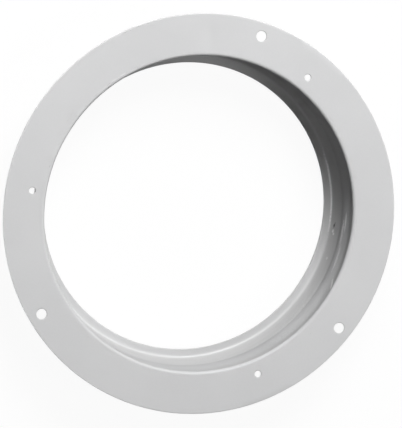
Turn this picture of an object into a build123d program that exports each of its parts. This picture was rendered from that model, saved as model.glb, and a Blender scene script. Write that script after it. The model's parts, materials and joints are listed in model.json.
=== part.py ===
from build123d import *
import os

# Ceiling duct ring, pressed in one piece from steel sheet: a flat flange drilled for screws, a
# straight collar that a duct slides over, a shoulder that leans inward, and a narrow lip at the
# collar's end. The ring lies on the lip, with its axis on Z, the flange's face up and the origin
# in the middle of the lip's underside. The X axis passes through the large hole that stands alone.

# Driving sizes, in millimetres and degrees
flange_diameter = 250.0
spigot_diameter = 199.0
opening_diameter = 180.0
ring_height = 40.0
sheet_thickness = 1.0
shoulder_height = 13.5
shoulder_inset = 3.3
flange_bend_radius = 1.0
shoulder_bend_radius = 8.0
lip_bend_radius = 1.5

small_hole_diameter = 4.0
small_hole_edge = 17.0
small_hole_count = 3
small_hole_start = 90.0

large_hole_diameter = 6.5
large_hole_edge = 8.5
large_hole_count = 3
large_hole_step = 110.0

# Radii and heights of the sheet's upper side, which faces the axis along the collar
flange_radius = flange_diameter / 2
collar_radius = spigot_diameter / 2 - sheet_thickness
lip_corner_radius = collar_radius - shoulder_inset
lip_face = sheet_thickness

# The sheet lies behind this line, so the flange's bend is wider here by the sheet
outer_flange_bend = flange_bend_radius + sheet_thickness

with BuildPart() as duct_ring:
    with BuildSketch(Plane.XZ):
        with BuildLine():
            FilletPolyline(
                (flange_radius, ring_height),
                (collar_radius, ring_height),
                (collar_radius, shoulder_height),
                (lip_corner_radius, lip_face),
                (opening_diameter / 2, lip_face),
                radius=[outer_flange_bend, shoulder_bend_radius, lip_bend_radius],
            )
            offset(amount=sheet_thickness, side=Side.LEFT)
        make_face()
    revolve(axis=Axis.Z)

    # The holes' circles are set in from the flange's edge
    with Locations((0, 0, ring_height)):
        with PolarLocations(flange_radius - small_hole_edge, small_hole_count, small_hole_start):
            Hole(small_hole_diameter / 2)
        with PolarLocations(
            flange_radius - large_hole_edge,
            large_hole_count,
            start_angle=-large_hole_step,
            angular_range=large_hole_step * (large_hole_count - 1),
            endpoint=True,
        ):
            Hole(large_hole_diameter / 2)

duct_ring.part.label = "duct_ring"

os.makedirs("parts", exist_ok=True)
export_step(duct_ring.part, "parts/duct_ring.step")
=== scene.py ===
"""Looks of a painted steel ceiling duct ring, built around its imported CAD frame.

The ring is one pressing in sheet steel: a flat flange with screw holes, a straight collar, a
shoulder that leans inward and a narrow lip. Its surfaces are worked out here on grids, with the
rounded cut edges, hole rims, shallow dents and slack of the sheet that the CAD solid leaves out.
Sizes of the ring and the camera's place are millimetres and degrees. The floor and the lamps are
in metres, and noise scales are waves per metre. Meshes are metres, in the frame of the CAD.
"""

import json
import logging
from dataclasses import dataclass, field
from enum import Enum
from functools import reduce
from math import ceil, cos, radians, sin, tan
from operator import or_
from typing import Any, Union

import bpy
import numpy as np
from mathutils import Matrix, Vector


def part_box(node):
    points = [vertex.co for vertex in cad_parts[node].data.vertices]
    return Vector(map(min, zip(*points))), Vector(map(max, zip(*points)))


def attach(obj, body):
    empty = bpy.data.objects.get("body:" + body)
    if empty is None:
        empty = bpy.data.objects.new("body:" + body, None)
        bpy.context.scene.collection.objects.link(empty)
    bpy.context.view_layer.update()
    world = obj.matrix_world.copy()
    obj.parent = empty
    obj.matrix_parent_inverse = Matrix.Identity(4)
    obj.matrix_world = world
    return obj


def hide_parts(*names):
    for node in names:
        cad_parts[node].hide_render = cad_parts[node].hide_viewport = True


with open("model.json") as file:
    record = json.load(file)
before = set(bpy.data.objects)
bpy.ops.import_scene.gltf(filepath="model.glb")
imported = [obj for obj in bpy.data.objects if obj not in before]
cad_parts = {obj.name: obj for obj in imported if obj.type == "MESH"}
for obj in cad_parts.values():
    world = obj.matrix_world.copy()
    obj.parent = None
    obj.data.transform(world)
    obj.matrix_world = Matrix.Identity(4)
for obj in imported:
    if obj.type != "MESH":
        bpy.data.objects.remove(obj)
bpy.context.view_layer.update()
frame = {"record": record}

log = logging.getLogger("duct_ring")

MILLIMETRE = 0.001
FULL_TURN = 360.0
RING_NODE = "duct_ring"
RING_BODY = "root"

# The frame's +Y axis passes through the first screw hole
FIRST_SCREW_BEARING = 90.0

# Decimals kept of places that are worked out from the record's rounded numbers
PLACE_DIGITS = 2

# A run shorter than this, in millimetres, gets no points of its own
SHORTEST_RUN = 1e-6

# Steps in a millimetre to which points are rounded to find those that coincide
WELD_STEPS = 1e5

# Middle of a noise texture's range
NOISE_MIDDLE = 0.5

# What a point is multiplied by to drop its height
DROP_HEIGHT = (1.0, 1.0, 0.0)

# Places of the sockets of a Mix node that mixes colours, and of its result
MIX_FACTOR = 0
MIX_FIRST = 6
MIX_SECOND = 7
MIX_RESULT = 2

Value = Union["Signal", float]
Colour = tuple[float, float, float, float]


def grey(level: float) -> Colour:
    """Return a neutral opaque colour of one linear level."""
    return (level, level, level, 1.0)


class Signal:
    """One output socket of a node tree, for use in Python expressions on values."""

    def __init__(self, graph: "Graph", socket: bpy.types.NodeSocket) -> None:
        """Remember the tree and the socket."""
        self.graph = graph
        self.socket = socket

    def _math(self, operation: str, first: Value, second: Value) -> "Signal":
        """Add one Math node on two values."""
        return self.graph.add("ShaderNodeMath", {"operation": operation}, {0: first, 1: second})

    def __add__(self, other: Value) -> "Signal":
        """Sum of two values."""
        return self._math("ADD", self, other)

    def __radd__(self, other: float) -> "Signal":
        """Sum, with the number first."""
        return self._math("ADD", other, self)

    def __sub__(self, other: Value) -> "Signal":
        """Difference of two values."""
        return self._math("SUBTRACT", self, other)

    def __rsub__(self, other: float) -> "Signal":
        """Difference, with the number first."""
        return self._math("SUBTRACT", other, self)

    def __mul__(self, other: Value) -> "Signal":
        """Product of two values."""
        return self._math("MULTIPLY", self, other)

    def __rmul__(self, other: float) -> "Signal":
        """Product, with the number first."""
        return self._math("MULTIPLY", other, self)

    def __gt__(self, other: Value) -> "Signal":
        """One where this value is the larger, otherwise nought."""
        return self._math("GREATER_THAN", self, other)

    def __or__(self, other: Value) -> "Signal":
        """The larger of two masks."""
        return self._math("MAXIMUM", self, other)

    def sibling(self, output: str) -> "Signal":
        """Return another output socket of the same node."""
        return Signal(self.graph, self.socket.node.outputs[output])


class Graph:
    """The node tree of one finish, filled node by node."""

    def __init__(self, tree: bpy.types.NodeTree) -> None:
        """Start from an empty tree."""
        self.tree = tree
        self.tree.nodes.clear()

    def add(
        self,
        kind: str,
        settings: dict[str, Any] | None = None,
        inputs: dict[str | int, Any] | None = None,
        output: str | int = 0,
    ) -> Signal | None:
        """Add a node, set it up and feed its sockets.

        Args:
            kind: the node's type.
            settings: the node's own properties, set before its sockets.
            inputs: a value or a signal for each named or numbered socket.
            output: the name or number of the socket to hand back.

        Returns:
            The chosen output socket, or None for a node that has none.
        """
        node = self.tree.nodes.new(kind)
        for name, value in (settings or {}).items():
            setattr(node, name, value)
        for key, value in (inputs or {}).items():
            if isinstance(value, Signal):
                self.tree.links.new(value.socket, node.inputs[key])
            else:
                node.inputs[key].default_value = value
        return Signal(self, node.outputs[output]) if node.outputs else None

    def noise(self, place: Signal, scale: float, detail: float) -> Signal:
        """Return fractal noise of a scale in waves per metre."""
        inputs = {"Vector": place, "Scale": scale, "Detail": detail}
        return self.add("ShaderNodeTexNoise", {}, inputs, "Fac")

    def ramp(self, value: Value, low: float, high: float) -> Signal:
        """Return nought below low and one above high, with a smooth rise between."""
        inputs = {"Value": value, "From Min": low, "From Max": high}
        return self.add("ShaderNodeMapRange", {"interpolation_type": "SMOOTHSTEP"}, inputs)

    def mix(self, factor: Value, first: Signal | Colour, second: Signal | Colour) -> Signal:
        """Return a colour part of the way from the first to the second."""
        inputs = {MIX_FACTOR: factor, MIX_FIRST: first, MIX_SECOND: second}
        return self.add("ShaderNodeMix", {"data_type": "RGBA"}, inputs, MIX_RESULT)

    def seen(self) -> Signal:
        """Return one for camera, glossy and transmission rays, otherwise nought."""
        camera = self.add("ShaderNodeLightPath", output="Is Camera Ray")
        return camera | camera.sibling("Is Glossy Ray") | camera.sibling("Is Transmission Ray")


@dataclass(frozen=True)
class WallPlace:
    """A point's distance from the axis, turn about it and height, in metres and radians."""

    reach: Signal
    turn: Signal
    height: Signal

    @classmethod
    def read(cls, graph: Graph, place: Signal) -> "WallPlace":
        """Work the three out from a point's coordinates.

        Args:
            graph: the node tree to add to.
            place: the point, as a vector.

        Returns:
            The place on the wall.
        """
        flat = graph.add(
            "ShaderNodeVectorMath", {"operation": "MULTIPLY"}, {0: place, 1: DROP_HEIGHT}
        )
        reach = graph.add("ShaderNodeVectorMath", {"operation": "LENGTH"}, {0: flat}, "Value")
        along = graph.add("ShaderNodeSeparateXYZ", {}, {"Vector": place}, "X")
        inputs = {0: along.sibling("Y"), 1: along}
        turn = graph.add("ShaderNodeMath", {"operation": "ARCTAN2"}, inputs)
        return cls(reach, turn, along.sibling("Z"))


class MarkKind(Enum):
    """What a mark does to the paint: a painted highlight, reflection or shade, and for GLOSS a real
    polish.
    """

    # Painted reflection streaks, paler in colour, which the coat also glosses
    PAINTED_STREAK = "rubbed paler and to a gloss"
    # Painted shade on a dent's upper slope
    DENT_SHADE = "chipped to a dark undercoat"
    # Painted highlight on a dent's lower slope
    DENT_HIGHLIGHT = "scraped to a pale tone"
    # Painted highlight along the lip's bend
    BEND_HIGHLIGHT = "rubbed along the lip's bend"
    GLOSS = "polished along the lip's bend"


@dataclass(frozen=True)
class Mark:
    """A small mark on the collar's wall; its length lies round the wall, its width down it."""

    kind: MarkKind
    bearing: float
    height: float
    length: float
    width: float
    slant: float = 0.0
    strength: float = 1.0

    def mask(self, graph: Graph, wall: WallPlace, ragged: Signal) -> Signal:
        """Return the strength in the mark's middle, falling to nought on an ellipse round it.

        The way round the wall from the middle is divided by half the length. The way up from
        there, less the slant's share of the way round, is divided by half the width. The mask
        falls with the sum of the two squares, to which the raggedness is added.

        Args:
            graph: the node tree to add to.
            wall: the place on the wall.
            ragged: what makes the outline uneven, above and below nought.

        Returns:
            The mask.
        """
        aside = (wall.turn - radians(self.bearing)) * wall.reach
        above = wall.height - self.height * MILLIMETRE - aside * self.slant
        along = aside * (2 / (self.length * MILLIMETRE))
        across = above * (2 / (self.width * MILLIMETRE))
        spread = graph.ramp(along * along + across * across + ragged, 0.0, 1.0)
        return (1.0 - spread) * self.strength


@dataclass(frozen=True)
class PowderCoat:
    """Satin light grey powder coat over steel sheet.

    The coat is a shade lighter and darker in soft clouds, has the fine ripple that the powder
    leaves when it flows, a few pinholes and fine lines drawn round the collar by the press. It
    has a satin skin, apart from the collar's inside, where powder goes on thin and stays matt.
    It is darker low on the inside, and paler at the cut edges, partly as wear and partly as
    painted light that lifts their shade. It carries painted highlights along the lip's bend,
    painted reflection streaks on the collar and painted shade and highlights on its dents, and
    is polished along the lip's bend. Limits are the levels of a noise at which an effect starts
    and is full.
    """

    name: str = "satin_powder_coat"
    pale: Colour = (0.630, 0.631, 0.635, 1.0)
    deep: Colour = (0.600, 0.601, 0.606, 1.0)
    pinhole: Colour = grey(0.48)
    # Pale tone of the painted highlights and streaks, and of the paler cut edges
    highlight_and_rim_tone: Colour = grey(0.95)
    # Tones of the painted shade and painted highlight on the dents
    dent_shade_tone: Colour = grey(0.20)
    dent_highlight_tone: Colour = grey(0.92)
    # Darker tone low on the collar's inside
    low_inside_tone: Colour = grey(0.55)
    roughness: float = 0.55
    roughness_swing: float = 0.10
    specular: float = 0.0
    polish_roughness: float = 0.30
    satin: float = 0.30
    bend_polish: float = 0.7
    bend_width: float = 1.0
    # Share of the pale tone at the cut edges, partly wear and partly painted light
    rim_paling: float = 0.15
    wear_limits: tuple[float, float] = (0.25, 0.75)
    raggedness: float = 1.6
    # Height up to which the darker tone reaches, and height below which it clears on the lip
    low_tone_height: float = 17.0
    lip_clear_height: float = 3.2
    streak_polish: float = 0.8
    streak_limits: tuple[float, float] = (0.15, 0.50)
    cloud_scale: float = 22.0
    cloud_detail: float = 4.0
    cloud_share: float = 0.7
    shade_limits: tuple[float, float] = (0.30, 0.70)
    grain_scale: float = 900.0
    grain_detail: float = 2.0
    ripple_scale: float = 620.0
    ripple_detail: float = 1.5
    ripple_height: float = 0.010
    draw_scale: float = 900.0
    draw_detail: float = 2.0
    draw_stretch: float = 0.012
    draw_height: float = 0.012
    draw_edge: float = 2.0
    pinhole_scale: float = 95.0
    pinhole_size: float = 0.030
    pinhole_core: float = 0.5
    pinhole_share: float = 0.12
    marks: tuple[Mark, ...] = (
        # Painted reflection streaks on the collar's inside, also glossed by the coat
        Mark(MarkKind.PAINTED_STREAK, bearing=29.0, height=20.6, length=22.0, width=5.0),
        Mark(MarkKind.PAINTED_STREAK, bearing=33.5, height=24.4, length=17.0, width=3.6),
        Mark(MarkKind.PAINTED_STREAK, bearing=20.0, height=23.2, length=24.0, width=4.2, strength=0.8),
        Mark(MarkKind.PAINTED_STREAK, bearing=11.0, height=33.5, length=10.0, width=4.4, slant=-1.0),
        Mark(MarkKind.PAINTED_STREAK, bearing=16.0, height=24.0, length=110.0, width=22.0, strength=0.20),
        Mark(MarkKind.PAINTED_STREAK, bearing=-3.0, height=22.0, length=72.0, width=30.0, strength=0.30),
        # Painted highlight along the lip's bend
        Mark(MarkKind.BEND_HIGHLIGHT, bearing=44.0, height=1.9, length=60.0, width=12.0),
        Mark(MarkKind.GLOSS, bearing=-59.0, height=1.9, length=290.0, width=12.0),
        # Painted shade and highlights on the collar's two dents
        Mark(MarkKind.DENT_SHADE, bearing=30.9, height=5.4, length=4.4, width=2.2, slant=0.5),
        Mark(MarkKind.DENT_HIGHLIGHT, bearing=28.7, height=4.9, length=3.0, width=2.8),
        Mark(MarkKind.DENT_HIGHLIGHT, bearing=27.8, height=6.3, length=2.2, width=2.4, strength=0.8),
        Mark(MarkKind.DENT_HIGHLIGHT, bearing=18.5, height=6.8, length=2.4, width=2.6, strength=0.4),
    )

    def material(self, collar_radius: float, bend: tuple[float, float]) -> bpy.types.Material:
        """Make the material.

        Args:
            collar_radius: the radius in millimetres inside which the drawn lines show.
            bend: the radius and height of the lip's inner corner, in millimetres.

        Returns:
            The material, ready for a mesh with "rim" and "inside" attributes.
        """
        material = bpy.data.materials.new(self.name)
        material.use_nodes = True
        graph = Graph(material.node_tree)
        place = graph.add("ShaderNodeTexCoord", output="Object")
        rim = graph.add("ShaderNodeAttribute", {"attribute_name": "rim"}, output="Fac")
        inside = graph.add("ShaderNodeAttribute", {"attribute_name": "inside"}, output="Fac")
        wall = WallPlace.read(graph, place)

        cloud = graph.noise(place, self.cloud_scale, self.cloud_detail)
        grain = graph.noise(place, self.grain_scale, self.grain_detail)
        lines = self._drawn_lines(graph, wall, collar_radius)
        ragged = (grain - NOISE_MIDDLE) * self.raggedness
        marks = {kind: self._marks(graph, wall, ragged, kind) * inside for kind in MarkKind}
        bend_line = self._bend_line(graph, wall, bend)
        # Painted reflection streaks, joined with the painted highlight along the lip's bend
        highlight_streaks = marks[MarkKind.PAINTED_STREAK] * graph.ramp(lines, *self.streak_limits)
        highlight_streaks = highlight_streaks | marks[MarkKind.BEND_HIGHLIGHT] * bend_line

        shade = cloud * self.cloud_share + grain * (1 - self.cloud_share)
        colour = graph.mix(graph.ramp(shade, *self.shade_limits), self.deep, self.pale)
        # Darker low on the collar's inside, fading up the wall and clear on the lip
        low_darkening = 1.0 - graph.ramp(wall.height, 0.0, self.low_tone_height * MILLIMETRE)
        low_darkening = low_darkening * inside * graph.ramp(wall.height, 0.0, self.lip_clear_height * MILLIMETRE)
        colour = graph.mix(low_darkening, colour, self.low_inside_tone)
        colour = graph.mix(self._pinholes(graph, place), colour, self.pinhole)
        # Paler cut edges, partly wear and partly painted light that lifts the shade of edges turned from
        # the lamps
        rim_wear_and_light = rim * graph.ramp(cloud, *self.wear_limits) * self.rim_paling
        # Painted highlights: the streaks, the lip's bend and the cut edges go towards the pale tone
        colour = graph.mix(rim_wear_and_light | highlight_streaks, colour, self.highlight_and_rim_tone)
        # Painted shade and painted highlight on the dents' slopes
        colour = graph.mix(marks[MarkKind.DENT_SHADE], colour, self.dent_shade_tone)
        colour = graph.mix(marks[MarkKind.DENT_HIGHLIGHT], colour, self.dent_highlight_tone)

        ripple = graph.noise(place, self.ripple_scale, self.ripple_detail)
        height = ripple * self.ripple_height + lines * self.draw_height
        relief = {"Strength": 1.0, "Distance": MILLIMETRE, "Height": height}
        polish = marks[MarkKind.GLOSS] * bend_line * self.bend_polish | highlight_streaks * self.streak_polish
        shader = graph.add(
            "ShaderNodeBsdfPrincipled",
            {},
            {
                "Base Color": colour,
                "Roughness": self.roughness + (cloud - NOISE_MIDDLE) * self.roughness_swing,
                "Specular IOR Level": self.specular,
                "Coat Weight": polish | (1.0 - inside) * self.satin,
                "Coat Roughness": self.polish_roughness,
                "Normal": graph.add("ShaderNodeBump", {}, relief),
            },
        )
        graph.add("ShaderNodeOutputMaterial", {}, {"Surface": shader})
        return material

    def _drawn_lines(self, graph: Graph, wall: WallPlace, collar_radius: float) -> Signal:
        """Make noise drawn out round the axis, on the collar alone.

        The noise is read at distance from the axis, height, and a small share of the turn, so
        it changes quickly down the collar and slowly round it.

        Args:
            graph: the node tree to add to.
            wall: the place on the wall.
            collar_radius: the radius in millimetres at which the lines have faded out.

        Returns:
            The noise, and nought beyond the collar.
        """
        inputs = {"X": wall.reach, "Y": wall.height, "Z": wall.turn * self.draw_stretch}
        stretched = graph.add("ShaderNodeCombineXYZ", {}, inputs)
        limit = collar_radius * MILLIMETRE
        mask = 1.0 - graph.ramp(wall.reach, limit - self.draw_edge * MILLIMETRE, limit)
        return graph.noise(stretched, self.draw_scale, self.draw_detail) * mask

    def _pinholes(self, graph: Graph, place: Signal) -> Signal:
        """Make small round spots, in a share of the cells of a cell pattern.

        Args:
            graph: the node tree to add to.
            place: the point, as a vector.

        Returns:
            The mask, one in the core of a spot.
        """
        cells = {"Vector": place, "Scale": self.pinhole_scale}
        away = graph.add("ShaderNodeTexVoronoi", {}, cells, "Distance")
        chance = graph.add("ShaderNodeSeparateColor", {}, {"Color": away.sibling("Color")}, "Red")
        core = self.pinhole_size * self.pinhole_core
        spot = 1.0 - graph.ramp(away, core, self.pinhole_size)
        return spot * (chance > 1.0 - self.pinhole_share)

    def _marks(self, graph: Graph, wall: WallPlace, ragged: Signal, kind: MarkKind) -> Signal:
        """Return the marks of one kind as one mask."""
        masks = [mark.mask(graph, wall, ragged) for mark in self.marks if mark.kind is kind]
        return reduce(or_, masks)

    def _bend_line(self, graph: Graph, wall: WallPlace, bend: tuple[float, float]) -> Signal:
        """Make a line along the lip's corner, which fades with the square of the distance.

        Args:
            graph: the node tree to add to.
            wall: the place on the wall.
            bend: the corner's radius and height, in millimetres.

        Returns:
            The mask, one at the corner.
        """
        radius, height = (size * MILLIMETRE for size in bend)
        aside, above = wall.reach - radius, wall.height - height
        width = self.bend_width * MILLIMETRE
        return 1.0 - graph.ramp(aside * aside + above * above, 0.0, width * width)


@dataclass(frozen=True)
class PaleFloor:
    """Plain white studio floor that keeps a faint shadow.

    It is pale as a source of light round the ring, and dark under the ring's opening, as painted
    shade of the ring in the light that the floor bounces.
    """

    name: str = "pale_floor"
    white: float = 1.0
    shadow_share: float = 0.06
    lit: Colour = grey(0.95)
    bounce: Colour = grey(0.80)
    # Painted shade: the floor's bounce colour under the ring's opening
    painted_opening_shade: Colour = grey(0.03)

    def material(self, opening_radius: float, flange_radius: float) -> bpy.types.Material:
        """Make the floor: mostly white as it is looked at, and duller as a source of light.

        Args:
            opening_radius: the radius of the ring's opening, in millimetres.
            flange_radius: the radius of the ring's flange, in millimetres.

        Returns:
            The material.
        """
        material = bpy.data.materials.new(self.name)
        material.use_nodes = True
        graph = Graph(material.node_tree)
        reach = WallPlace.read(graph, graph.add("ShaderNodeTexCoord", output="Object")).reach
        beyond = graph.ramp(reach, opening_radius * MILLIMETRE, flange_radius * MILLIMETRE)
        bounce = graph.mix(beyond, self.painted_opening_shade, self.bounce)
        colour = graph.mix(graph.seen(), bounce, self.lit)
        matt = graph.add("ShaderNodeBsdfDiffuse", {}, {"Color": colour})
        glow = graph.add("ShaderNodeEmission", {}, {"Color": grey(1.0), "Strength": self.white})
        share = graph.seen() * (1.0 - self.shadow_share)
        shader = graph.add("ShaderNodeMixShader", {}, {0: share, 1: matt, 2: glow})
        graph.add("ShaderNodeOutputMaterial", {}, {"Surface": shader})
        return material


@dataclass(frozen=True)
class RoomLight:
    """White surroundings that give the object little light of their own."""

    ambient: float = 0.02
    white: float = 1.0

    def dress(self, world: bpy.types.World) -> None:
        """Make the world white to look at and dim as a light.

        Args:
            world: the world to give its nodes to.
        """
        world.use_nodes = True
        graph = Graph(world.node_tree)
        colour = graph.mix(graph.seen(), grey(self.ambient), grey(self.white))
        shader = graph.add("ShaderNodeBackground", {}, {"Color": colour, "Strength": 1.0})
        graph.add("ShaderNodeOutputWorld", {}, {"Surface": shader})


def reach_of(points: np.ndarray) -> np.ndarray:
    """Return the distances of points from the axis."""
    return np.hypot(points[:, 0], points[:, 1])


def turn_of(points: np.ndarray) -> np.ndarray:
    """Return the turns of points about the axis, in radians."""
    return np.arctan2(points[:, 1], points[:, 0])


def bell(squares: np.ndarray) -> np.ndarray:
    """Return a bell curve, one in the middle, of squared distances counted in spreads."""
    return np.exp(-squares / 2)


def hump(shares: np.ndarray) -> np.ndarray:
    """Return four times the share times the rest: one half-way, and nought at either end."""
    return 4 * shares * (1 - shares)


@dataclass(frozen=True)
class FlangeHole:
    """One round hole through the flange."""

    bearing: float
    circle_radius: float
    radius: float

    def centre(self) -> np.ndarray:
        """Return the hole's middle in the plane of the flange."""
        turn = radians(self.bearing)
        return self.circle_radius * np.array([cos(turn), sin(turn)])


@dataclass(frozen=True)
class FlangeWave:
    """A slow rise and fall of the flange: times in a turn, share, and start in radians."""

    count: int
    share: float
    start: float

    def lift(self, turn: np.ndarray) -> np.ndarray:
        """Return the share times the cosine of the start plus the turn times the count."""
        return self.share * np.cos(self.count * turn + self.start)


@dataclass(frozen=True)
class Dent:
    """A small round knock in the collar's wall, from the inside."""

    bearing: float
    height: float
    depth: float
    spread: float

    def push(self, points: np.ndarray) -> np.ndarray:
        """Return how far points move outward.

        The depth is multiplied by a bell curve of the distance along the wall. Its way round is
        the turn from the dent times the distance from the axis.

        Args:
            points: points of the wall, by row.

        Returns:
            The move of each point away from the axis.
        """
        turn = turn_of(points) - radians(self.bearing)
        aside = reach_of(points) * np.angle(np.exp(1j * turn))
        above = points[:, 2] - self.height
        return self.depth * bell((aside**2 + above**2) / self.spread**2)


@dataclass(frozen=True)
class Crease:
    """A shallow line all round the collar's wall, a groove as seen from the axis, or a ridge."""

    height: float
    depth: float
    spread: float

    def push(self, points: np.ndarray) -> np.ndarray:
        """Return how far points move outward: the depth times a bell curve of the way up."""
        above = (points[:, 2] - self.height) / self.spread
        return self.depth * bell(above**2)


@dataclass(frozen=True)
class Knock:
    """A shallow hollow in the flange, longer along the flange's radius than across it."""

    bearing: float
    circle_radius: float
    depth: float
    length: float
    width: float

    def sink(self, points: np.ndarray) -> np.ndarray:
        """Return how far points sink: the depth times a bell curve along and one across.

        Args:
            points: points of the ring, by row.

        Returns:
            The move of each point downward.
        """
        turn = radians(self.bearing)
        along = points[:, 0] * cos(turn) + points[:, 1] * sin(turn) - self.circle_radius
        across = points[:, 1] * cos(turn) - points[:, 0] * sin(turn)
        return self.depth * bell((along / self.length) ** 2 + (across / self.width) ** 2)


def bent_line(
    corners: np.ndarray, radii: list[float], arc_step: float, run_steps: list[float]
) -> np.ndarray:
    """Return points along straight runs whose corners are rounded.

    At each corner the line leaves the run at radius times the tangent of half the turn before
    the corner. It follows the arc about the centre that lies the radius to the side of the turn,
    and joins the next run as far beyond the corner.

    Args:
        corners: the ends of the runs, as an array of points (radius, height).
        radii: the radius of each inner corner.
        arc_step: the largest turn between two points of an arc, in degrees.
        run_steps: the largest distance between two points of each run.

    Returns:
        An array of points (radius, height).
    """
    runs = np.diff(corners, axis=0)
    runs = runs / np.linalg.norm(runs, axis=1)[:, None]
    headings = np.arctan2(runs[:, 1], runs[:, 0])
    pieces = [corners[:1]]
    last = corners[0]
    for corner, radius, before, after, heading, step in zip(
        corners[1:-1], radii, runs[:-1], runs[1:], headings, run_steps
    ):
        turn = np.arctan2(before[0] * after[1] - before[1] * after[0], before @ after)
        start = corner - before * radius * abs(tan(turn / 2))
        pieces.append(straight_run(last, start, step))
        count = ceil(abs(np.degrees(turn)) / arc_step)
        angles = heading + turn * np.arange(1, count + 1) / count
        right = np.stack([np.sin(angles), -np.cos(angles)], axis=1)
        first_right = np.array([sin(heading), -cos(heading)])
        pieces.append(start + np.sign(turn) * radius * (right - first_right))
        last = pieces[-1][-1]
    pieces.append(straight_run(last, corners[-1], run_steps[-1]))
    return np.concatenate(pieces)


def straight_run(start: np.ndarray, end: np.ndarray, step: float) -> np.ndarray:
    """Return evenly spaced points of a straight line.

    Args:
        start: where the line starts, which is left out.
        end: where the line ends, which is kept.
        step: the largest distance between two points.

    Returns:
        An array of points, empty where start and end meet.
    """
    length = float(np.linalg.norm(end - start))
    count = ceil(length / step) if length > SHORTEST_RUN else 0
    shares = np.arange(1, count + 1)[:, None] / max(count, 1)
    return start + shares * (end - start)


def offset_corners(corners: np.ndarray, distance: float) -> np.ndarray:
    """Return the corners of a line moved to its left.

    An inner corner moves against the sum of the right-hand normals of its two runs, divided by
    one plus their product, which keeps both runs at the distance. The ends move squarely.

    Args:
        corners: the line's corners, as an array of points (radius, height).
        distance: how far the line moves.

    Returns:
        The moved corners, in the same order.
    """
    runs = np.diff(corners, axis=0)
    runs = runs / np.linalg.norm(runs, axis=1)[:, None]
    right = np.stack([runs[:, 1], -runs[:, 0]], axis=1)
    before = np.concatenate([right[:1], right])
    after = np.concatenate([right, right[-1:]])
    share = 1 + np.sum(before * after, axis=1, keepdims=True)
    return corners - distance * (before + after) / share


def polar(radius: np.ndarray, turn: np.ndarray, height: np.ndarray) -> np.ndarray:
    """Return points from distances to the axis, turns about it in radians, and heights."""
    radius, turn, height = np.broadcast_arrays(radius, turn, height)
    return np.stack([radius * np.cos(turn), radius * np.sin(turn), height], axis=-1)


class Shell:
    """Surfaces on grids, gathered to become one closed mesh."""

    def __init__(self) -> None:
        """Start with nothing."""
        self.points: list[np.ndarray] = []
        self.quads: list[np.ndarray] = []
        self.count = 0

    def add(self, grid: np.ndarray, closed: bool) -> None:
        """Add a grid of points, whose normals lie along its rows' direction times its columns'.

        Args:
            grid: points by row, column and coordinate.
            closed: whether the last row joins the first.
        """
        rows, columns = grid.shape[:2]
        index = self.count + np.arange(rows * columns).reshape(rows, columns)
        if closed:
            index = np.concatenate([index, index[:1]])
        corners = (index[:-1, :-1], index[1:, :-1], index[1:, 1:], index[:-1, 1:])
        self.quads.append(np.stack(corners, axis=-1).reshape(-1, 4))
        self.points.append(grid.reshape(-1, 3))
        self.count += rows * columns

    def welded(self) -> tuple[np.ndarray, np.ndarray]:
        """Join the grids where their points coincide.

        Returns:
            The points, each once, and the faces between them.
        """
        points = np.concatenate(self.points)
        keys = np.round(points * WELD_STEPS).astype(np.int64)
        _, first, inverse = np.unique(keys, axis=0, return_index=True, return_inverse=True)
        return points[first], inverse.reshape(-1)[np.concatenate(self.quads)]


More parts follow.
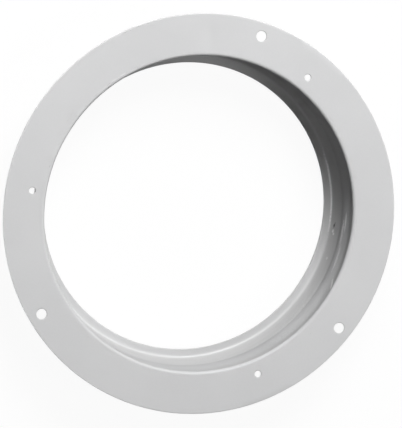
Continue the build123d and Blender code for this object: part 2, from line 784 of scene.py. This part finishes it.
@dataclass
class DuctRing:
    """The pressed ring: flange with holes, collar, shoulder and lip."""

    flange_radius: float
    height: float
    spigot_radius: float
    opening_radius: float
    holes: list[FlangeHole]
    finish: PowderCoat = field(default_factory=PowderCoat)
    name: str = "duct_ring_shell"
    sheet: float = 1.0
    shoulder_height: float = 13.5
    shoulder_inset: float = 3.3
    shoulder_bend: float = 8.0
    flange_bend: float = 1.0
    lip_bend: float = 1.5
    collar_wave: float = 0.30
    shoulder_hollow: float = 0.50
    lip_lift: float = 0.60
    edge_round: float = 0.42
    rim_width: float = 0.6
    slack: float = 0.10
    columns: int = 540
    hole_columns: int = 12
    hole_shares: tuple[float, ...] = (0.0, 0.22, 0.44, 0.64, 0.80, 0.91, 0.97)
    flange_rows: int = 11
    face_step: float = 0.7
    back_step: float = 2.4
    arc_step: float = 9.0
    edge_arc_step: float = 30.0
    flange_waves: tuple[FlangeWave, ...] = (
        FlangeWave(count=2, share=0.6, start=0.7),
        FlangeWave(count=3, share=0.4, start=-1.1),
    )
    knocks: tuple[Knock, ...] = (
        Knock(bearing=126.3, circle_radius=111.5, depth=0.34, length=5.5, width=2.8),
    )
    creases: tuple[Crease, ...] = (
        Crease(height=13.5, depth=0.05, spread=1.3),
        Crease(height=6.4, depth=-0.05, spread=0.7),
    )
    dents: tuple[Dent, ...] = (
        Dent(bearing=29.6, height=5.4, depth=0.45, spread=1.5),
        Dent(bearing=18.5, height=6.8, depth=0.12, spread=1.0),
    )

    def collar_inner(self) -> float:
        """Return the radius of the straight collar's inner side."""
        return self.spigot_radius - self.sheet

    def lip_corner(self) -> float:
        """Return the radius of the inner corner between the shoulder and the lip."""
        return self.collar_inner() - self.shoulder_inset

    def flange_inner(self) -> float:
        """Return the radius at which the flange's flat ends and its bend begins."""
        return self.spigot_radius + self.flange_bend

    def flange_outer(self) -> float:
        """Return the radius at which the flange's flat ends and its rounded edge begins."""
        return self.flange_radius - self.edge_round

    def turns(self) -> np.ndarray:
        """Return the turns about the axis at which the surfaces have their columns."""
        return 2 * np.pi * np.arange(self.columns) / self.columns

    def column(self, bearing: float) -> int:
        """Return the column nearest a bearing."""
        return round(bearing % FULL_TURN / (FULL_TURN / self.columns))

    def radii(self) -> np.ndarray:
        """Space the flange's rows evenly, with a close row by each edge.

        Returns:
            The rows' radii, from the inside out.
        """
        inner, outer = self.flange_inner(), self.flange_outer()
        even = np.linspace(inner + self.rim_width, outer - self.rim_width, self.flange_rows)
        return np.concatenate([[inner], even, [outer]])

    def section(self) -> np.ndarray:
        """Draw the outline of the collar's section, from the flange's face round to its back.

        The face's line runs in from the flange, down the collar, down the leaning shoulder and in
        along the lip. The back is that line moved out by the sheet.

        Returns:
            An array of points (radius, height).
        """
        face = np.array(
            [
                (self.flange_inner(), self.height),
                (self.collar_inner(), self.height),
                (self.collar_inner(), self.shoulder_height),
                (self.lip_corner(), self.sheet),
                (self.opening_radius, self.sheet),
            ]
        )
        back = offset_corners(face, self.sheet)[::-1]
        face_bends = [self.flange_bend + self.sheet, self.shoulder_bend, self.lip_bend]
        lip_edge = [self.edge_round, self.edge_round]
        back_bends = [self.lip_bend + self.sheet, self.shoulder_bend + self.sheet, self.flange_bend]
        steps = [self.face_step] * len(face) + [self.back_step] * len(back)
        corners = np.concatenate([face, back])
        return bent_line(corners, face_bends + lip_edge + back_bends, self.arc_step, steps)

    def cut_edge(self, flat: float, edge: float, first: float, last: float) -> np.ndarray:
        """Draw a cut edge of the sheet: out from the flat, across the edge and back, rounded.

        Args:
            flat: the radius at which the sheet's flat sides end.
            edge: the radius of the cut edge.
            first: the height of the side that the line starts on.
            last: the height of the side that it ends on.

        Returns:
            An array of points (radius, height).
        """
        corners = np.array([(flat, first), (edge, first), (edge, last), (flat, last)])
        rounds = [self.edge_round] * (len(corners) - 2)
        steps = [self.sheet] * (len(corners) - 1)
        return bent_line(corners, rounds, self.edge_arc_step, steps)

    def carry(self, shell: Shell, profile: np.ndarray) -> None:
        """Add a profile of points (radius, height), carried round the axis."""
        turns = self.turns()[:, None]
        shell.add(polar(profile[None, :, 0], turns, profile[None, :, 1]), closed=True)

    def add_flange(self, shell: Shell) -> None:
        """Add the flange's two faces between the holes, as grids of turn and radius.

        Args:
            shell: the surfaces to add to.
        """
        middles = np.sort([self.column(hole.bearing) for hole in self.holes])
        following = np.append(middles[1:], middles[0] + self.columns)
        for first, last in zip(middles + self.hole_columns, following - self.hole_columns):
            turns = self.turns()[np.arange(first, last + 1) % self.columns][:, None]
            radii = self.radii()[None, :]
            shell.add(polar(radii[:, ::-1], turns, self.height), closed=False)
            shell.add(polar(radii, turns, self.height - self.sheet), closed=False)

    def add_hole(self, shell: Shell, hole: FlangeHole) -> None:
        """Add a hole, its rim and the stretch of flange round it.

        The stretch is a ruled surface: each point of its border is joined by a straight line to
        the point of the hole's circle in the same direction. The rim is a rounded profile carried
        round the hole.

        Args:
            shell: the surfaces to add to.
            hole: the hole.
        """
        middle = self.column(hole.bearing)
        span = np.arange(middle - self.hole_columns, middle + self.hole_columns + 1)
        turns = self.turns()[span % self.columns]
        radii = self.radii()
        border = np.concatenate(
            [
                polar(radii[-1], turns[:-1], 0.0),
                polar(radii[:0:-1], turns[-1], 0.0),
                polar(radii[0], turns[:0:-1], 0.0),
                polar(radii[:-1], turns[0], 0.0),
            ]
        )[:, None, :2]
        top, bottom = self.height, self.height - self.sheet
        rim = self.cut_edge(hole.radius + self.edge_round, hole.radius, top, bottom)
        away = border - hole.centre()
        away = away / np.linalg.norm(away, axis=-1, keepdims=True)
        wall = hole.centre() + away * rim[None, :, :1]
        shares = np.array(self.hole_shares)[None, :, None]
        ruled = border + shares * (wall[:, :1] - border)
        flat = np.concatenate([ruled, wall, ruled[:, ::-1]], axis=1)
        level = np.ones((len(border), shares.size))
        drop = np.broadcast_to(rim[:, 1], (len(border), len(rim)))
        heights = np.concatenate([top * level, drop, bottom * level], axis=1)
        shell.add(np.concatenate([flat, heights[..., None]], axis=-1), closed=True)

    def add_edge(self, shell: Shell) -> None:
        """Add the flange's rounded outer edge."""
        bottom = self.height - self.sheet
        self.carry(shell, self.cut_edge(self.flange_outer(), self.flange_radius, bottom, self.height))

    def add_collar(self, shell: Shell) -> None:
        """Add the collar, the shoulder and the lip."""
        self.carry(shell, self.section())

    def worked(self, points: np.ndarray) -> np.ndarray:
        """Return the points after the knocks of use and the slack of the sheet.

        Dents and creases move the wall outward. The shoulder is hollow by a parabola. From there
        to the flange's bend the collar swings in and out by one sine wave, as the sheet springs
        back. The flange rises and falls by slow waves in a turn, with the square of the way out
        to its edge, and sinks at its knocks. The lip rises evenly from its bend to its edge.

        Args:
            points: points of the clean ring, by row.

        Returns:
            The moved points, in the same order.
        """
        reach = reach_of(points)
        turn = turn_of(points)
        push = sum(form.push(points) for form in (*self.dents, *self.creases))
        above = points[:, 2] - self.shoulder_height
        collar_top = self.height - self.sheet - self.flange_bend
        up_collar = np.clip(above / (collar_top - self.shoulder_height), 0, 1)
        push -= self.collar_wave * np.sin(2 * np.pi * up_collar)
        down_shoulder = np.clip(-above / (self.shoulder_height - self.sheet), 0, 1)
        push += self.shoulder_hollow * hump(down_shoulder)
        push *= reach < self.flange_inner()
        stretch = 1 + push / reach
        moved = points * np.stack([stretch, stretch, np.ones(len(points))], axis=1)

        out_flange = np.clip(reach - self.flange_inner(), 0, None)
        out_flange /= self.flange_radius - self.flange_inner()
        lift = sum(wave.lift(turn) for wave in self.flange_waves)
        moved[:, 2] += self.slack * out_flange**2 * (lift - 1)
        moved[:, 2] -= sum(knock.sink(points) for knock in self.knocks)
        lip_start = self.lip_corner() - self.lip_bend
        along_lip = np.clip(lip_start - reach, 0, None) / (lip_start - self.opening_radius)
        moved[:, 2] += self.lip_lift * along_lip
        return moved

    def rim_share(self, points: np.ndarray) -> np.ndarray:
        """Find the cut edges of the sheet.

        Args:
            points: points of the clean ring, by row.

        Returns:
            One at a cut edge, falling with a square to nought at the rim's width from it.
        """
        reach = reach_of(points)
        gaps = [self.flange_radius - reach, reach - self.opening_radius]
        for hole in self.holes:
            away = np.linalg.norm(points[:, :2] - hole.centre(), axis=1)
            gaps.append(away - hole.radius)
        near = 1 - np.min(gaps, axis=0) / self.rim_width
        return np.clip(near, 0, 1) ** 2

    def inside_share(self, points: np.ndarray) -> np.ndarray:
        """Find the collar's inner side, up to the flange's bend.

        That side is nearer the axis than the middle of the sheet, which stands half the sheet
        out from the face's line: straight down to the shoulder, then leaning in to the lip.

        Args:
            points: points of the clean ring, by row.

        Returns:
            One on the inner side, otherwise nought.
        """
        lean = (self.shoulder_height - points[:, 2]) / (self.shoulder_height - self.sheet)
        inset = np.clip(lean, 0, 1) * (self.collar_inner() - self.lip_corner())
        face = self.collar_inner() - inset
        return (reach_of(points) < face + self.sheet / 2).astype(np.float32)

    def build(self) -> bpy.types.Object:
        """Build the ring's mesh and put it in the CAD ring's place.

        Returns:
            The ring's object, which rides on the CAD body.
        """
        shell = Shell()
        self.add_flange(shell)
        for hole in self.holes:
            self.add_hole(shell, hole)
        self.add_edge(shell)
        self.add_collar(shell)
        points, quads = shell.welded()
        mesh = bpy.data.meshes.new(self.name)
        mesh.from_pydata((self.worked(points) * MILLIMETRE).tolist(), [], quads.tolist())
        for name, share in (("rim", self.rim_share), ("inside", self.inside_share)):
            attribute = mesh.attributes.new(name, "FLOAT", "POINT")
            attribute.data.foreach_set("value", share(points).astype(np.float32))
        mesh.polygons.foreach_set("use_smooth", np.ones(len(quads), dtype=bool))
        mesh.update()
        ring = bpy.data.objects.new(self.name, mesh)
        bpy.context.scene.collection.objects.link(ring)
        self.dress(ring)
        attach(ring, RING_BODY)
        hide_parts(RING_NODE)
        return ring

    def dress(self, ring: bpy.types.Object) -> None:
        """Give the ring its paint."""
        bend = (self.lip_corner(), self.sheet)
        ring.data.materials.append(self.finish.material(self.flange_inner(), bend))


@dataclass(frozen=True)
class Lamp:
    """One soft lamp, placed by its bearing and elevation as seen from the ring.

    A lamp whose height is given as nought is square.
    """

    name: str
    bearing: float
    elevation: float
    distance: float
    size: float
    power: float
    tall: float = 0.0

    def build(self, target: Vector) -> bpy.types.Object:
        """Hang the lamp and aim it at a point.

        Args:
            target: the point that the lamp looks at, in metres.

        Returns:
            The lamp's object.
        """
        turn, lift = radians(self.bearing), radians(self.elevation)
        toward = Vector((cos(lift) * cos(turn), cos(lift) * sin(turn), sin(lift)))
        light = bpy.data.lights.new(self.name, "AREA")
        light.shape = "RECTANGLE"
        light.size = self.size
        light.size_y = self.tall or self.size
        light.energy = self.power
        lamp = bpy.data.objects.new(self.name, light)
        lamp.location = target + toward * self.distance
        lamp.rotation_euler = toward.to_track_quat("Z", "Y").to_euler()
        lamp.visible_camera = False
        bpy.context.scene.collection.objects.link(lamp)
        return lamp


@dataclass
class Studio:
    """Floor, lamps, surroundings and camera round a ring.

    The floor's size and the camera's reach are metres. The floor's gap, the lens and the camera's
    distance and shift are millimetres.
    """

    ring: DuctRing
    floor_size: float = 12.0
    floor_gap: float = 0.1
    lens: float = 800.0
    camera_reach: float = 100.0
    camera_distance: float = 5881.4
    camera_tilt: float = 16.51
    camera_bearing: float = 190.94
    camera_roll: float = 117.83
    camera_shift: tuple[float, float] = (0.76, 0.14)
    floor_finish: PaleFloor = field(default_factory=PaleFloor)
    room: RoomLight = field(default_factory=RoomLight)
    lamps: tuple[Lamp, ...] = (
        Lamp("key_lamp", bearing=121.0, elevation=43.0, distance=1.9, size=1.0, power=42.2),
        Lamp("side_lamp", bearing=22.0, elevation=55.0, distance=3.5, size=1.2, power=24.0),
        Lamp("top_lamp", bearing=200.0, elevation=66.0, distance=0.8, size=0.5, power=0.62),
        Lamp("strip_lamp", bearing=245.0, elevation=-0.6, distance=2.0, size=1.2, power=16.0, tall=0.03),
    )

    def build_floor(self) -> bpy.types.Object:
        """Lay the floor just under the ring.

        Returns:
            The floor's object.
        """
        half = self.floor_size / 2
        level = -self.floor_gap * MILLIMETRE
        corners = [(-half, -half), (half, -half), (half, half), (-half, half)]
        mesh = bpy.data.meshes.new("floor")
        mesh.from_pydata([(*corner, level) for corner in corners], [], [(0, 1, 2, 3)])
        finish = self.floor_finish.material(self.ring.opening_radius, self.ring.flange_radius)
        mesh.materials.append(finish)
        floor = bpy.data.objects.new("floor", mesh)
        bpy.context.scene.collection.objects.link(floor)
        return floor

    def build_lamps(self) -> None:
        """Hang the lamps round the ring and set the surroundings."""
        target = Vector((0.0, 0.0, self.ring.height * MILLIMETRE))
        for lamp in self.lamps:
            lamp.build(target)
        scene = bpy.context.scene
        scene.world = bpy.data.worlds.new("room")
        self.room.dress(scene.world)

    def build_camera(self) -> bpy.types.Object:
        """Set up the long lens at the photograph's angle.

        Returns:
            The camera's object, which is also the scene's camera.
        """
        tilt, bearing, roll = (
            radians(angle) for angle in (self.camera_tilt, self.camera_bearing, self.camera_roll)
        )
        back = Vector((sin(tilt) * cos(bearing), sin(tilt) * sin(bearing), cos(tilt)))
        level = Vector((-sin(bearing), cos(bearing), 0.0))
        right = cos(roll) * level + sin(roll) * back.cross(level)
        above = back.cross(right)
        aside, up = self.camera_shift
        place = back * self.camera_distance + right * aside + above * up
        place.z += self.ring.height
        data = bpy.data.cameras.new("camera")
        data.lens = self.lens
        data.clip_end = self.camera_reach
        camera = bpy.data.objects.new("camera", data)
        turned = Matrix((right, above, back)).transposed()
        camera.matrix_world = Matrix.Translation(place * MILLIMETRE) @ turned.to_4x4()
        bpy.context.scene.collection.objects.link(camera)
        bpy.context.scene.camera = camera
        return camera


def packed_holes(mounts: dict[str, dict[str, Any]]) -> list[FlangeHole]:
    """Return the flange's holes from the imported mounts.

    Args:
        mounts: the record's mounts by name.

    Returns:
        Three screw holes evenly spaced, and a lone bolt hole with its pair on the same circle.
    """
    screws = mounts["screw_holes"]["dims"]
    pair = mounts["bolt_hole_pair"]
    across = pair["dims"]["spacing_y_mm"] / 2
    along = pair["pos_m"][0] / MILLIMETRE
    bolt_circle = round(float(np.hypot(across, along)), PLACE_DIGITS)
    pair_bearing = round(float(np.degrees(np.arctan2(across, along))), PLACE_DIGITS)
    screw_bearings = [
        FIRST_SCREW_BEARING + FULL_TURN * turn / screws["count"] for turn in range(screws["count"])
    ]
    holes = [
        FlangeHole(bearing, screws["pcd_mm"] / 2, screws["hole_r_mm"])
        for bearing in screw_bearings
    ]
    holes += [
        FlangeHole(bearing, bolt_circle, pair["dims"]["hole_r_mm"])
        for bearing in (0.0, pair_bearing, -pair_bearing)
    ]
    return holes


def main() -> None:
    """Build the ring and the studio in order, and report each piece."""
    logging.basicConfig(level=logging.INFO, format="%(name)s: %(message)s")
    bpy.context.scene.view_settings.view_transform = "Standard"
    lowest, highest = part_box(RING_NODE)
    mounts = {mount["name"]: mount for mount in frame["record"]["mounts"]}
    ring = DuctRing(
        flange_radius=(highest.x - lowest.x) / 2 / MILLIMETRE,
        height=highest.z / MILLIMETRE,
        spigot_radius=mounts["duct_spigot"]["dims"]["r_mm"],
        opening_radius=mounts["air_opening"]["dims"]["r_mm"],
        holes=packed_holes(mounts),
    )
    piece = ring.build()
    log.info("%s: %d faces, %d holes", piece.name, len(piece.data.polygons), len(ring.holes))
    studio = Studio(ring)
    log.info("%s laid", studio.build_floor().name)
    studio.build_lamps()
    log.info("%d lamps hung", len(studio.lamps))
    log.info("%s set up", studio.build_camera().name)


if __name__ == "__main__":
    main()
